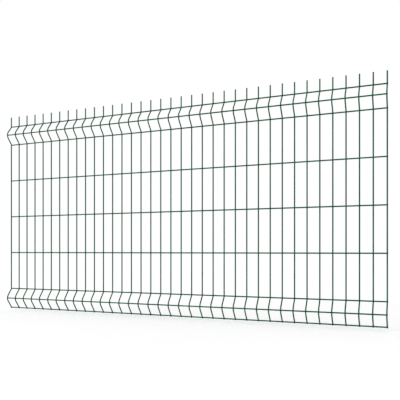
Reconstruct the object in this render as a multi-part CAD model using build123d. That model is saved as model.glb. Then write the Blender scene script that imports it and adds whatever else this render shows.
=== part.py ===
from build123d import *
import math
import os

# Welded mesh fence panel with two folds across its width, in millimetres.
# X runs along the panel and is 0 at its middle. Z is up and is 0 at the axis of the lowest line wire.
# The folds stand out to the front, -Y. Y is 0 at the plane of the rear flats of the straight line
# wires, which is the plane that lies against a post.

# Wires, measured over their coating
upright_wire_diameter = 6.0
line_wire_diameter = 6.0
weld_set_down = 0.5

# Mesh
upright_count = 37
upright_pitch = 55.0
field_row_spaces = 4
field_row_spacing = 200.0
line_wire_overhang = 3.5

# Folds: rises from the line wire at a fold's foot to the one at its crest, and on to its head
bottom_foot_to_crest = 54.0
bottom_crest_to_head = 51.5
top_foot_to_crest = 50.0
top_crest_to_head = 51.0
fold_depth = 30.0
crest_bend_radius = 28.0
shoulder_bend_radius = 8.0

# Free ends of the uprights, past the axes of the outermost line wires
spike_length = 52.0
tail_length = 3.7

# Facets: six-sided bars of the round wire's own sectional area, and bends of a few straight steps
bar_sides = 6
steps_per_bend = 2

bar_flats_share = math.sqrt(math.pi / (2 * math.sqrt(3)))
upright_flats = upright_wire_diameter * bar_flats_share
line_flats = line_wire_diameter * bar_flats_share
half_turn_of_bar = 180 / bar_sides

# Heights of the line wires' axes, where the lowest one is 0
bottom_crest_z = bottom_foot_to_crest
field_base_z = bottom_crest_z + bottom_crest_to_head
field_rows = [field_base_z + i * field_row_spacing for i in range(1, field_row_spaces)]
field_head_z = field_base_z + field_row_spaces * field_row_spacing
top_crest_z = field_head_z + top_foot_to_crest
top_row_z = top_crest_z + top_crest_to_head

# Depths: the uprights are welded to the front of the line wires and set down into them a little
line_axis_y = -line_flats / 2
weld_reach = (line_flats + upright_flats) / 2 - weld_set_down
upright_axis_y = line_axis_y - weld_reach
crest_axis_y = upright_axis_y - fold_depth + weld_reach

mesh_width = (upright_count - 1) * upright_pitch
line_wire_length = mesh_width + 2 * line_wire_overhang


def bend(centre_y, centre_z, radius, lean_from, lean_to):
    """Turning points of a bend whose straight steps touch the arc round the given centre.

    A lean is the upright's angle from the vertical towards the front, in radians. A bend with a
    positive radius bulges to the rear, one with a negative radius to the front.
    """
    step = (lean_to - lean_from) / steps_per_bend
    reach = radius / math.cos(step / 2)
    leans = [lean_from + (i + 0.5) * step for i in range(steps_per_bend)]
    return [(centre_y + reach * math.cos(lean), centre_z + reach * math.sin(lean)) for lean in leans]


def leg_lean(rise):
    """Lean of a leg that runs from a shoulder bend to a crest bend, each on its own side."""
    forward = fold_depth - crest_bend_radius - shoulder_bend_radius
    across = math.hypot(forward, rise)
    return math.atan2(forward, rise) + math.asin((crest_bend_radius + shoulder_bend_radius) / across)


def fold(foot_z, crest_z, head_z):
    """Turning points of one fold, from the line wire at its foot to the one at its head."""
    lower_lean = leg_lean(crest_z - foot_z)
    upper_lean = leg_lean(head_z - crest_z)
    shoulder_y = upright_axis_y - shoulder_bend_radius
    crest_y = upright_axis_y - fold_depth + crest_bend_radius
    return [
        *bend(shoulder_y, foot_z, shoulder_bend_radius, 0, lower_lean),
        *bend(crest_y, crest_z, -crest_bend_radius, lower_lean, 0),
        *bend(crest_y, crest_z, -crest_bend_radius, 0, -upper_lean),
        *bend(shoulder_y, head_z, shoulder_bend_radius, -upper_lean, 0),
    ]


def upright():
    """One upright wire at X = 0, with its tail, its two folds and its spike."""
    foot = (upright_axis_y, -tail_length)
    tip = (upright_axis_y, top_row_z + spike_length)
    bottom_fold = fold(0, bottom_crest_z, field_base_z)
    top_fold = fold(field_head_z, top_crest_z, top_row_z)
    path = Polyline(*[(0, y, z) for y, z in [foot, *bottom_fold, *top_fold, tip]])
    section = RegularPolygon(upright_flats / 2, bar_sides, major_radius=False)
    return sweep(Pos(0, *foot) * section, path=path, transition=Transition.RIGHT)


def line_wire():
    """One straight line wire, centred on the origin, with two of its flats facing front and rear."""
    section = RegularPolygon(line_flats / 2, bar_sides, major_radius=False, rotation=half_turn_of_bar)
    return extrude(Plane.YZ * section, amount=line_wire_length / 2, both=True)


def mesh_panel():
    """All the wires, fused at their welds into one solid."""
    first_upright = Pos(-mesh_width / 2, 0, 0) * upright()
    uprights = [Pos(i * upright_pitch, 0, 0) * first_upright for i in range(upright_count)]
    bar = line_wire()
    straight_rows = [0, field_base_z, *field_rows, field_head_z, top_row_z]
    line_wires = [Pos(0, line_axis_y, z) * bar for z in straight_rows]
    line_wires += [Pos(0, crest_axis_y, z) * bar for z in (bottom_crest_z, top_crest_z)]
    return Part() + [*uprights, *line_wires]


os.makedirs("parts", exist_ok=True)

panel = mesh_panel()
panel.label = "mesh_panel"
export_step(panel, "parts/mesh_panel.step")
box = panel.bounding_box()
print(f"mesh_panel: {len(panel.solids())} solid, {len(panel.faces())} faces")
print(f"size {box.size.X:.1f} x {box.size.Y:.1f} x {box.size.Z:.1f} mm")
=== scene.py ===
"""Looks of the welded mesh fence panel: round coated wires, their welds and the studio round them."""

import logging
import math
import random
from dataclasses import dataclass, replace
from enum import Enum

import bmesh
import bpy
from mathutils import Matrix, Vector


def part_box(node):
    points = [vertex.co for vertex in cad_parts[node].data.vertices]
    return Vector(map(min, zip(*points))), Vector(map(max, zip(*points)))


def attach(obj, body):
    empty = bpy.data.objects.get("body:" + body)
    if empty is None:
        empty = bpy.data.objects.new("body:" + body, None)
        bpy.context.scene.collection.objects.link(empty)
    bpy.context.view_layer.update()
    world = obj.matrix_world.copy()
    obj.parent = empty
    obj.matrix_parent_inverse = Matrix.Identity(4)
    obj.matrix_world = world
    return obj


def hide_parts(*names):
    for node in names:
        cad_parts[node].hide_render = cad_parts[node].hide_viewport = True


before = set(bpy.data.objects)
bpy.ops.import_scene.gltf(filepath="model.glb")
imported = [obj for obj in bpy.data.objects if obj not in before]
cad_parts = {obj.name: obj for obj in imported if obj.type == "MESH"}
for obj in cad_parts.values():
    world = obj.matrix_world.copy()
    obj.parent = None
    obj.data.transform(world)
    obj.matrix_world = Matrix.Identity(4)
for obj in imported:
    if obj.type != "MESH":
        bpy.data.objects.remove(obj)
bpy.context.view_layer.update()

PANEL_NODE = "mesh_panel"
BODY = "root"
MM = 0.001

# A Mix node numbers its sockets; these are the share and the two colours, and the blended colour.
MIX_COLOR_INPUTS = (0, 6, 7)
MIX_COLOR_OUTPUT = 2

log = logging.getLogger("mesh_panel")


class Row(Enum):
    """The line wires, from the ground up."""

    BOTTOM = "bottom_line_wire"
    BOTTOM_CREST = "bottom_fold_crest_wire"
    BOTTOM_HEAD = "bottom_fold_head_wire"
    FIELD_LOW = "low_field_wire"
    FIELD_MIDDLE = "middle_field_wire"
    FIELD_HIGH = "high_field_wire"
    TOP_FOOT = "top_fold_foot_wire"
    TOP_CREST = "top_fold_crest_wire"
    TOP = "top_line_wire"

    @property
    def on_crest(self) -> bool:
        """Whether the wire lies in the hollow of a fold's crest."""
        return self in (Row.BOTTOM_CREST, Row.TOP_CREST)


@dataclass(frozen=True)
class PanelSizes:
    """Driving sizes of the panel in metres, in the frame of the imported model."""

    wire_diameter: float = 6.0 * MM
    set_down: float = 0.5 * MM
    upright_count: int = 37
    pitch: float = 55.0 * MM
    field_spaces: int = 4
    field_spacing: float = 200.0 * MM
    bottom_foot_to_crest: float = 54.0 * MM
    bottom_crest_to_head: float = 51.5 * MM
    top_foot_to_crest: float = 50.0 * MM
    top_crest_to_head: float = 51.0 * MM
    fold_depth: float = 30.0 * MM
    crest_radius: float = 28.0 * MM
    shoulder_radius: float = 8.0 * MM
    spike: float = 52.0 * MM
    tail: float = 3.7 * MM

    @property
    def bar_flats(self) -> float:
        """Width over the flats of the frame's six-sided bars, which have the round wire's area."""
        return self.wire_diameter * math.sqrt(math.pi / (2 * math.sqrt(3)))

    @property
    def line_axis_y(self) -> float:
        """Depth of the straight line wires' axes."""
        return -self.bar_flats / 2

    @property
    def reach(self) -> float:
        """Distance between the axes of an upright and a line wire at their weld."""
        return self.bar_flats - self.set_down

    @property
    def upright_axis_y(self) -> float:
        """Depth of the uprights' axes between the folds."""
        return self.line_axis_y - self.reach

    @property
    def crest_front_y(self) -> float:
        """Depth of the foremost line of the crests."""
        return self.upright_axis_y - self.fold_depth - self.wire_diameter / 2

    @property
    def tip_z(self) -> float:
        """Height of the spikes' tips."""
        return self.row_height(Row.TOP) + self.spike

    def row_height(self, row: Row) -> float:
        """Height of a line wire's axis.

        Args:
            row: The line wire.

        Returns:
            Its height over the bottom line wire's axis.
        """
        head = self.bottom_foot_to_crest + self.bottom_crest_to_head
        foot = head + self.field_spaces * self.field_spacing
        return {
            Row.BOTTOM: 0.0,
            Row.BOTTOM_CREST: self.bottom_foot_to_crest,
            Row.BOTTOM_HEAD: head,
            Row.FIELD_LOW: head + self.field_spacing,
            Row.FIELD_MIDDLE: head + 2 * self.field_spacing,
            Row.FIELD_HIGH: head + 3 * self.field_spacing,
            Row.TOP_FOOT: foot,
            Row.TOP_CREST: foot + self.top_foot_to_crest,
            Row.TOP: foot + self.top_foot_to_crest + self.top_crest_to_head,
        }[row]

    def row_depth(self, row: Row) -> float:
        """Depth of a line wire's axis."""
        return self.line_axis_y - (self.fold_depth if row.on_crest else 0.0)

    def upright_places(self) -> list[float]:
        """X of each upright's axis, from left to right."""
        first = -(self.upright_count - 1) * self.pitch / 2
        return [first + i * self.pitch for i in range(self.upright_count)]

    def leg_lean(self, rise: float) -> float:
        """Angle from the vertical of a leg between a shoulder bend and a crest bend.

        Args:
            rise: Height from the line wire at the shoulder to the one at the crest.

        Returns:
            The lean towards the front, in radians.
        """
        radii = self.crest_radius + self.shoulder_radius
        forward = self.fold_depth - radii
        return math.atan2(forward, rise) + math.asin(radii / math.hypot(forward, rise))


class NodeBoard:
    """A new material's node tree, to which nodes are added with their values and links."""

    def __init__(self, name: str) -> None:
        """Makes the material.

        Args:
            name: The material's name.
        """
        self.material = bpy.data.materials.new(name)
        self.material.use_nodes = True
        self.nodes = self.material.node_tree.nodes
        self.shader = self.nodes["Principled BSDF"]

    def link(self, source: bpy.types.NodeSocket, target: bpy.types.NodeSocket) -> None:
        """Links an output to an input."""
        self.material.node_tree.links.new(source, target)

    def places(self) -> bpy.types.NodeSocket:
        """Gives the object's own coordinates, in metres."""
        return self.nodes.new("ShaderNodeTexCoord").outputs["Object"]

    def noise(self, places: bpy.types.NodeSocket, grain: float, detail: float) -> bpy.types.NodeSocket:
        """Adds a noise pattern.

        Args:
            places: Coordinates to read.
            grain: Size of the pattern's features in metres.
            detail: Octaves of finer detail.

        Returns:
            The pattern's value, about 0.5 on average.
        """
        node = self.nodes.new("ShaderNodeTexNoise")
        node.inputs["Scale"].default_value = 1 / grain
        node.inputs["Detail"].default_value = detail
        self.link(places, node.inputs["Vector"])
        return node.outputs["Fac"]

    def span(
        self, value: bpy.types.NodeSocket, source: tuple[float, float], target: tuple[float, float]
    ) -> bpy.types.NodeSocket:
        """Maps a span of values smoothly onto another.

        Args:
            value: The value to map.
            source: Start and end of the span that is read.
            target: Values given at its start and end.

        Returns:
            The mapped value.
        """
        node = self.nodes.new("ShaderNodeMapRange")
        node.interpolation_type = "SMOOTHSTEP"
        node.inputs["From Min"].default_value, node.inputs["From Max"].default_value = source
        node.inputs["To Min"].default_value, node.inputs["To Max"].default_value = target
        self.link(value, node.inputs["Value"])
        return node.outputs["Result"]

    def product(self, first: bpy.types.NodeSocket, second: bpy.types.NodeSocket) -> bpy.types.NodeSocket:
        """Multiplies two values.

        Args:
            first: One value.
            second: The other.

        Returns:
            Their product.
        """
        node = self.nodes.new("ShaderNodeMath")
        node.operation = "MULTIPLY"
        self.link(first, node.inputs[0])
        self.link(second, node.inputs[1])
        return node.outputs["Value"]

    def blend(
        self,
        share: bpy.types.NodeSocket,
        ground: bpy.types.NodeSocket | tuple[float, float, float],
        over: tuple[float, float, float],
    ) -> bpy.types.NodeSocket:
        """Blends a colour over another.

        Args:
            share: Share of the upper colour.
            ground: The lower colour, linked or plain.
            over: The upper colour.

        Returns:
            The blended colour.
        """
        node = self.nodes.new("ShaderNodeMix")
        node.data_type = "RGBA"
        factor, lower, upper = (node.inputs[number] for number in MIX_COLOR_INPUTS)
        self.link(share, factor)
        if isinstance(ground, tuple):
            lower.default_value = (*ground, 1.0)
        else:
            self.link(ground, lower)
        upper.default_value = (*over, 1.0)
        return node.outputs[MIX_COLOR_OUTPUT]


@dataclass(frozen=True)
class GreenCoating:
    """Moss green polyester coating over galvanised wire, satin, with a fine orange peel.

    Its tone drifts between deep and fresh along the wires, is rubbed lighter in patches on the
    foremost line of the crests, and dulls where the coating is thin at the spikes' cut tips.
    """

    crest_front: float
    tip_height: float
    name: str = "green_coating"
    deep: tuple[float, float, float] = (0.0005, 0.078, 0.036)
    fresh: tuple[float, float, float] = (0.0008, 0.117, 0.055)
    rubbed: tuple[float, float, float] = (0.014, 0.150, 0.085)
    thin: tuple[float, float, float] = (0.016, 0.052, 0.040)
    drift_grain: float = 120 * MM
    drift_span: tuple[float, float] = (0.35, 0.65)
    cloud_grain: float = 14 * MM
    cloud_detail: float = 3.0
    rub_behind_front: tuple[float, float] = (1.2 * MM, 0.2 * MM)
    rub_span: tuple[float, float] = (0.45, 0.62)
    rub_share: float = 0.8
    thin_length: float = 2.5 * MM
    thin_share: float = 0.8
    peel_grain: float = 1.3 * MM
    peel_height: float = 0.12 * MM
    peel_strength: float = 0.6
    plain_detail: float = 2.0
    sheen_span: tuple[float, float] = (0.3, 0.7)
    sheen_low: float = 0.25
    sheen_high: float = 0.42
    specular: float = 0.1
    sheen_tint: tuple[float, float, float] = (0.1, 0.7, 0.4)

    def over_welds(self) -> "GreenCoating":
        """Gives the coarser and duller coating that lies over the weld beads."""
        return replace(
            self, name="weld_coating", peel_grain=2.4 * MM, peel_height=0.25 * MM, sheen_low=0.36
        )

    def tone(
        self, board: NodeBoard, places: bpy.types.NodeSocket, clouds: bpy.types.NodeSocket
    ) -> bpy.types.NodeSocket:
        """Mixes the coating's colour.

        Args:
            board: The material's node tree.
            places: The object's own coordinates.
            clouds: Cloudy pattern that the rubbed patches follow.

        Returns:
            The colour.
        """
        split = board.nodes.new("ShaderNodeSeparateXYZ")
        board.link(places, split.inputs["Vector"])
        waves = board.noise(places, self.drift_grain, self.plain_detail)
        color = board.blend(board.span(waves, self.drift_span, (0.0, 1.0)), self.deep, self.fresh)
        rub_start, rub_full = (self.crest_front + behind for behind in self.rub_behind_front)
        at_crest = board.span(split.outputs["Y"], (rub_start, rub_full), (0.0, 1.0))
        patches = board.span(clouds, self.rub_span, (0.0, self.rub_share))
        color = board.blend(board.product(at_crest, patches), color, self.rubbed)
        thin_end = (self.tip_height - self.thin_length, self.tip_height)
        at_tip = board.span(split.outputs["Z"], thin_end, (0.0, self.thin_share))
        return board.blend(at_tip, color, self.thin)

    def material(self) -> bpy.types.Material:
        """Builds the coating's nodes.

        Returns:
            The new material.
        """
        board = NodeBoard(self.name)
        places = board.places()
        clouds = board.noise(places, self.cloud_grain, self.cloud_detail)
        board.link(self.tone(board, places, clouds), board.shader.inputs["Base Color"])
        sheen = board.span(clouds, self.sheen_span, (self.sheen_low, self.sheen_high))
        board.link(sheen, board.shader.inputs["Roughness"])
        board.shader.inputs["Specular IOR Level"].default_value = self.specular
        board.shader.inputs["Specular Tint"].default_value = (*self.sheen_tint, 1.0)
        bump = board.nodes.new("ShaderNodeBump")
        bump.inputs["Strength"].default_value = self.peel_strength
        bump.inputs["Distance"].default_value = self.peel_height
        board.link(board.noise(places, self.peel_grain, self.plain_detail), bump.inputs["Height"])
        board.link(bump.outputs["Normal"], board.shader.inputs["Normal"])
        return board.material


def shown_in_picture(tree: bpy.types.NodeTree) -> bpy.types.NodeSocket:
    """Tells what the picture shows, directly, in a reflection or through glass, from mere lighting.

    Args:
        tree: Node tree of the floor's finish or of the backdrop.

    Returns:
        A value that is 1 on what the picture shows and 0 otherwise.
    """
    path = tree.nodes.new("ShaderNodeLightPath")
    shown = path.outputs["Is Camera Ray"]
    for other in ("Is Glossy Ray", "Is Transmission Ray"):
        either = tree.nodes.new("ShaderNodeMath")
        either.operation = "MAXIMUM"
        tree.links.new(shown, either.inputs[0])
        tree.links.new(path.outputs[other], either.inputs[1])
        shown = either.outputs["Value"]
    return shown


@dataclass(frozen=True)
class FloorFinish:
    """Matt white floor that shows as white as the backdrop and still takes shadows."""

    name: str = "floor_white"
    color: tuple[float, float, float] = (0.9, 0.9, 0.9)
    roughness: float = 0.9
    lift: float = 0.35

    def material(self) -> bpy.types.Material:
        """Builds the floor's nodes.

        Returns:
            The new material.
        """
        board = NodeBoard(self.name)
        board.shader.inputs["Base Color"].default_value = (*self.color, 1.0)
        board.shader.inputs["Roughness"].default_value = self.roughness
        board.shader.inputs["Specular IOR Level"].default_value = 0.0
        board.shader.inputs["Emission Color"].default_value = (1.0, 1.0, 1.0, 1.0)
        shown = shown_in_picture(board.material.node_tree)
        board.link(board.span(shown, (0.0, 1.0), (0.0, self.lift)), board.shader.inputs["Emission Strength"])
        return board.material


class BentWire:
    """A round wire drawn out of a disc, run by run and bend by bend."""

    SIDE_CORNERS = 4
    RIM_STEPS = 3

    def __init__(self, diameter: float, sides: int, start: Vector, heading: Vector) -> None:
        """Starts the wire with its first cut face.

        Args:
            diameter: Diameter over the coating.
            sides: Number of faces round the wire.
            start: Centre of the first cut face.
            heading: Direction in which the wire leaves it.
        """
        self.mesh = bmesh.new()
        self.here = start.copy()
        facing = Vector((0, 0, 1)).rotation_difference(heading).to_matrix().to_4x4()
        bmesh.ops.create_circle(
            self.mesh,
            cap_ends=True,
            radius=diameter / 2,
            segments=sides,
            matrix=Matrix.Translation(start) @ facing,
        )
        self.rim: list[bmesh.types.BMEdge] = list(self.mesh.edges)

    def run(self, target: Vector) -> None:
        """Draws the wire straight on.

        Args:
            target: Point that its axis runs to.
        """
        drawn = bmesh.ops.extrude_edge_only(self.mesh, edges=self.rim)["geom"]
        corners = {part for part in drawn if isinstance(part, bmesh.types.BMVert)}
        bmesh.ops.translate(self.mesh, verts=list(corners), vec=target - self.here)
        edges = [part for part in drawn if isinstance(part, bmesh.types.BMEdge)]
        self.rim = [edge for edge in edges if set(edge.verts) <= corners]
        self.here = target.copy()

    def turn(self, centre: Vector, angle: float, steps: int) -> None:
        """Bends the wire about an axis along X.

        Args:
            centre: Point on the bend's axis.
            angle: Angle of the bend in radians, positive towards the front.
            steps: Number of straight steps in the bend.
        """
        corners = list({corner for edge in self.rim for corner in edge.verts})
        spun = bmesh.ops.spin(
            self.mesh,
            geom=self.rim + corners,
            cent=centre,
            axis=(1, 0, 0),
            angle=angle,
            steps=steps,
            use_merge=False,
            use_duplicate=False,
        )["geom_last"]
        self.rim = [part for part in spun if isinstance(part, bmesh.types.BMEdge)]
        self.here = centre + Matrix.Rotation(angle, 3, "X") @ (self.here - centre)

    def cut(self, rounding: float, name: str) -> bpy.types.Mesh:
        """Closes the wire, rounds the rims of both cut faces and turns it into a mesh.

        Args:
            rounding: Width of the rounding that the coating gives the rims.
            name: The mesh's name.

        Returns:
            The finished mesh.
        """
        bmesh.ops.edgeloop_fill(self.mesh, edges=self.rim)
        caps = [face for face in self.mesh.faces if len(face.verts) > self.SIDE_CORNERS]
        bmesh.ops.bevel(
            self.mesh,
            geom=list({edge for cap in caps for edge in cap.edges}),
            offset=rounding,
            segments=self.RIM_STEPS,
            profile=0.5,
            affect="EDGES",
            material=-1,
        )
        bmesh.ops.recalc_face_normals(self.mesh, faces=self.mesh.faces)
        for face in self.mesh.faces:
            face.smooth = len(face.verts) <= self.SIDE_CORNERS
        mesh = bpy.data.meshes.new(name)
        self.mesh.to_mesh(mesh)
        self.mesh.free()
        return mesh


def finished_piece(name: str, mesh: bpy.types.Mesh, coat: bpy.types.Material) -> bpy.types.Object:
    """Links a mesh as a piece that rides on the panel and stands for its node.

    Args:
        name: The piece's name.
        mesh: Its mesh, in place.
        coat: Its material.

    Returns:
        The new object.
    """
    mesh.materials.append(coat)
    piece = bpy.data.objects.new(name, mesh)
    bpy.context.scene.collection.objects.link(piece)
    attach(piece, BODY)
    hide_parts(PANEL_NODE)
    log.info("%s: %d faces", name, len(mesh.polygons))
    return piece


@dataclass
class UprightWires:
    """The bent upright wires, one piece each."""

    sizes: PanelSizes
    sides: int = 16
    bend_steps: int = 6
    tip_rounding: float = 0.6 * MM

    def bend_fold(self, wire: BentWire, foot: Row, crest: Row, head: Row) -> None:
        """Bends one fold into a wire that is heading straight up.

        Args:
            wire: The wire.
            foot: Line wire at which the fold starts.
            crest: Line wire in its crest.
            head: Line wire at which it ends.
        """
        sizes = self.sizes
        foot_z, crest_z, head_z = (sizes.row_height(row) for row in (foot, crest, head))
        lower = sizes.leg_lean(crest_z - foot_z)
        upper = sizes.leg_lean(head_z - crest_z)
        shoulder_y = sizes.upright_axis_y - sizes.shoulder_radius
        foot_centre = Vector((0, shoulder_y, foot_z))
        crest_centre = Vector((0, sizes.upright_axis_y - sizes.fold_depth + sizes.crest_radius, crest_z))
        head_centre = Vector((0, shoulder_y, head_z))
        wire.run(Vector((0, sizes.upright_axis_y, foot_z)))
        wire.turn(foot_centre, lower, self.bend_steps)
        wire.run(crest_centre - sizes.crest_radius * Vector((0, math.cos(lower), math.sin(lower))))
        wire.turn(crest_centre, -lower, self.bend_steps)
        wire.turn(crest_centre, -upper, self.bend_steps)
        wire.run(head_centre + sizes.shoulder_radius * Vector((0, math.cos(upper), -math.sin(upper))))
        wire.turn(head_centre, upper, self.bend_steps)

    def pattern(self) -> bpy.types.Mesh:
        """Bends one upright at X = 0.

        Returns:
            Its mesh.
        """
        sizes = self.sizes
        foot = Vector((0, sizes.upright_axis_y, -sizes.tail))
        wire = BentWire(sizes.wire_diameter, self.sides, foot, Vector((0, 0, 1)))
        self.bend_fold(wire, Row.BOTTOM, Row.BOTTOM_CREST, Row.BOTTOM_HEAD)
        self.bend_fold(wire, Row.TOP_FOOT, Row.TOP_CREST, Row.TOP)
        wire.run(Vector((0, sizes.upright_axis_y, sizes.tip_z)))
        return wire.cut(self.tip_rounding, "upright_pattern")

    def build(self, coat: bpy.types.Material) -> list[bpy.types.Object]:
        """Builds every upright.

        Args:
            coat: The coating's material.

        Returns:
            The pieces, from left to right.
        """
        pattern = self.pattern()
        pieces = []
        for number, place in enumerate(self.sizes.upright_places(), start=1):
            mesh = pattern.copy()
            mesh.transform(Matrix.Translation((place, 0, 0)))
            pieces.append(finished_piece(f"upright_wire_{number:02d}", mesh, coat))
        bpy.data.meshes.remove(pattern)
        return pieces


@dataclass
class LineWires:
    """The straight wires that run the length of the panel, one piece each."""

    sizes: PanelSizes
    ends: tuple[float, float]
    sides: int = 16
    cut_rounding: float = 0.4 * MM

    def build(self, coat: bpy.types.Material) -> list[bpy.types.Object]:
        """Builds every line wire.

        Args:
            coat: The coating's material.

        Returns:
            The pieces, from the ground up.
        """
        left, right = self.ends
        pieces = []
        for row in Row:
            depth, height = self.sizes.row_depth(row), self.sizes.row_height(row)
            start = Vector((left, depth, height))
            wire = BentWire(self.sizes.wire_diameter, self.sides, start, Vector((1, 0, 0)))
            wire.run(Vector((right, depth, height)))
            pieces.append(finished_piece(row.value, wire.cut(self.cut_rounding, row.value), coat))
        return pieces


@dataclass
class CrossWelds:
    """The welds where uprights and line wires cross, one piece for each line wire."""

    sizes: PanelSizes
    half_width: float = 3.3 * MM
    half_depth: float = 1.8 * MM
    scatter: float = 0.06
    sides: int = 8
    rings: int = 5
    seed: int = 7

    def build(self, coat: bpy.types.Material) -> list[bpy.types.Object]:
        """Builds the flattened beads that the weld squeezes out round each crossing.

        Args:
            coat: The coating's material.

        Returns:
            The pieces, from the ground up.
        """
        chance = random.Random(self.seed)
        pieces = []
        for row in Row:
            beads = bmesh.new()
            depth = self.sizes.row_depth(row) - self.sizes.reach / 2
            for place in self.sizes.upright_places():
                spread = [1 + self.scatter * chance.uniform(-1, 1) for _ in range(3)]
                shape = Matrix.Diagonal(
                    (self.half_width * spread[0], self.half_depth * spread[1], self.half_width * spread[2], 1)
                )
                middle = Matrix.Translation((place, depth, self.sizes.row_height(row)))
                bmesh.ops.create_uvsphere(
                    beads, u_segments=self.sides, v_segments=self.rings, radius=1.0, matrix=middle @ shape
                )
            bmesh.ops.recalc_face_normals(beads, faces=beads.faces)
            for face in beads.faces:
                face.smooth = True
            name = row.value.replace("_wire", "_welds")
            mesh = bpy.data.meshes.new(name)
            beads.to_mesh(mesh)
            beads.free()
            pieces.append(finished_piece(name, mesh, coat))
        return pieces


@dataclass(frozen=True)
class SoftLamp:
    """A far, broad and soft lamp, which lights the panel and the whole floor evenly.

    Its angles are in degrees. The bearing is counted from the front, positive to the right.
    """

    name: str
    bearing: float
    elevation: float
    spread: float
    strength: float

    def hang(self) -> None:
        """Adds the lamp to the scene."""
        light = bpy.data.lights.new(self.name, "SUN")
        light.energy = self.strength
        light.angle = math.radians(self.spread)
        lamp = bpy.data.objects.new(self.name, light)
        lamp.rotation_euler = (math.radians(90 - self.elevation), 0, math.radians(self.bearing))
        bpy.context.scene.collection.objects.link(lamp)


@dataclass
class Studio:
    """Floor, backdrop, lamps and camera, in metres, degrees and millimetres of film and lens."""

    panel_foot: float
    clearance: float = 12 * MM
    floor_half: float = 40.0
    eye: tuple[float, float, float] = (1.1207, -2.2973, 0.3172)
    yaw: float = 22.910
    lens: float = 47.230
    shift_up: float = 0.1261
    film_width: float = 36.0
    ambient: float = 0.55
    lamps: tuple[SoftLamp, ...] = (
        SoftLamp("key_lamp", bearing=-50, elevation=18, spread=26, strength=1.5),
        SoftLamp("rear_lamp", bearing=-140, elevation=22, spread=50, strength=0.4),
    )

    def build(self) -> None:
        """Sets up everything round the panel."""
        self.place_camera()
        self.lay_floor()
        for lamp in self.lamps:
            lamp.hang()
        self.fill_backdrop()

    def place_camera(self) -> None:
        """Places the camera level, with its frame shifted up, as in the photograph."""
        optics = bpy.data.cameras.new("camera")
        optics.sensor_width = self.film_width
        optics.lens = self.lens
        optics.shift_y = self.shift_up
        camera = bpy.data.objects.new("camera", optics)
        camera.location = self.eye
        camera.rotation_euler = (math.radians(90), 0, math.radians(self.yaw))
        bpy.context.scene.collection.objects.link(camera)
        bpy.context.scene.camera = camera

    def lay_floor(self) -> None:
        """Lays the floor just clear of the uprights' tails, as a clipped panel hangs."""
        plate = bmesh.new()
        bmesh.ops.create_grid(plate, x_segments=1, y_segments=1, size=self.floor_half)
        bmesh.ops.translate(plate, verts=plate.verts, vec=(0, 0, self.panel_foot - self.clearance))
        mesh = bpy.data.meshes.new("floor")
        plate.to_mesh(mesh)
        plate.free()
        mesh.materials.append(FloorFinish().material())
        floor = bpy.data.objects.new("floor", mesh)
        bpy.context.scene.collection.objects.link(floor)

    def fill_backdrop(self) -> None:
        """Shows a white backdrop, which lights the panel about half as much as it shows."""
        world = bpy.data.worlds.new("backdrop")
        bpy.context.scene.world = world
        world.use_nodes = True
        tree = world.node_tree
        strength = tree.nodes.new("ShaderNodeMapRange")
        strength.inputs["To Min"].default_value = self.ambient
        strength.inputs["To Max"].default_value = 1.0
        tree.links.new(shown_in_picture(tree), strength.inputs["Value"])
        backdrop = tree.nodes["Background"]
        backdrop.inputs["Color"].default_value = (1.0, 1.0, 1.0, 1.0)
        tree.links.new(strength.outputs["Result"], backdrop.inputs["Strength"])


def main() -> None:
    """Builds the panel and its studio in order."""
    logging.basicConfig(level=logging.INFO, format="%(name)s %(message)s")
    bpy.context.scene.view_settings.view_transform = "Standard"
    low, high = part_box(PANEL_NODE)
    sizes = PanelSizes()
    coating = GreenCoating(crest_front=sizes.crest_front_y, tip_height=sizes.tip_z)
    coat = coating.material()
    UprightWires(sizes).build(coat)
    LineWires(sizes, ends=(low.x, high.x)).build(coat)
    CrossWelds(sizes).build(coating.over_welds().material())
    Studio(panel_foot=low.z).build()


if __name__ == "__main__":
    main()
